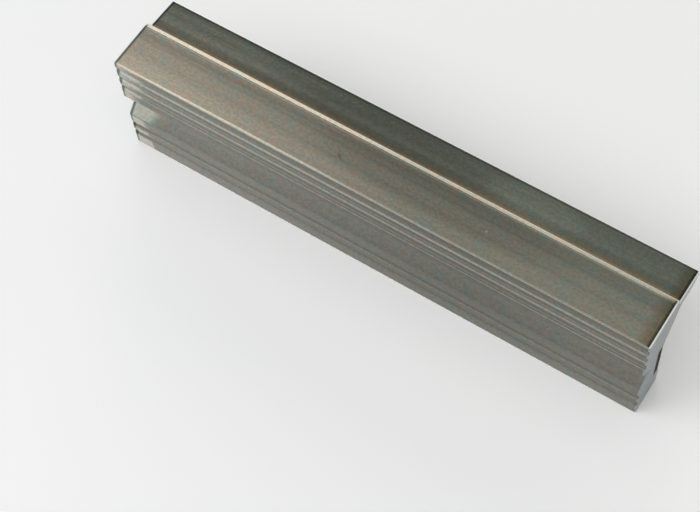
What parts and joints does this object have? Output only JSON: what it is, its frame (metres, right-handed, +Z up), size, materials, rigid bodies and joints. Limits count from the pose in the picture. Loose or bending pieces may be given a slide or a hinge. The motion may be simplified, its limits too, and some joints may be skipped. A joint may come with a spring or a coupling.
{
  "type": "vise jaw cap",
  "caption": "Straight aluminium vise jaw cap with a V groove and shallow grip grooves along its work face, a stepped flange and a magnet strip let into its back.",
  "frame": {"origin": "middle of the bottom of the box round the part, on the plane that it stands on", "axes": "+X along the jaw, +Y from the work face towards the flange, +Z up"},
  "size_m": [0.15, 0.0244, 0.0365],
  "materials": {
    "extruded_aluminium": "mill finish as extruded, with fine lines along the length and sawn ends",
    "magnet_strip": "matt black plastic-bonded ferrite"
  },
  "bodies": {
    "root": {"jaw_extrusion": "extruded_aluminium", "magnet_strip": "magnet_strip"}
  },
  "joints": []
}
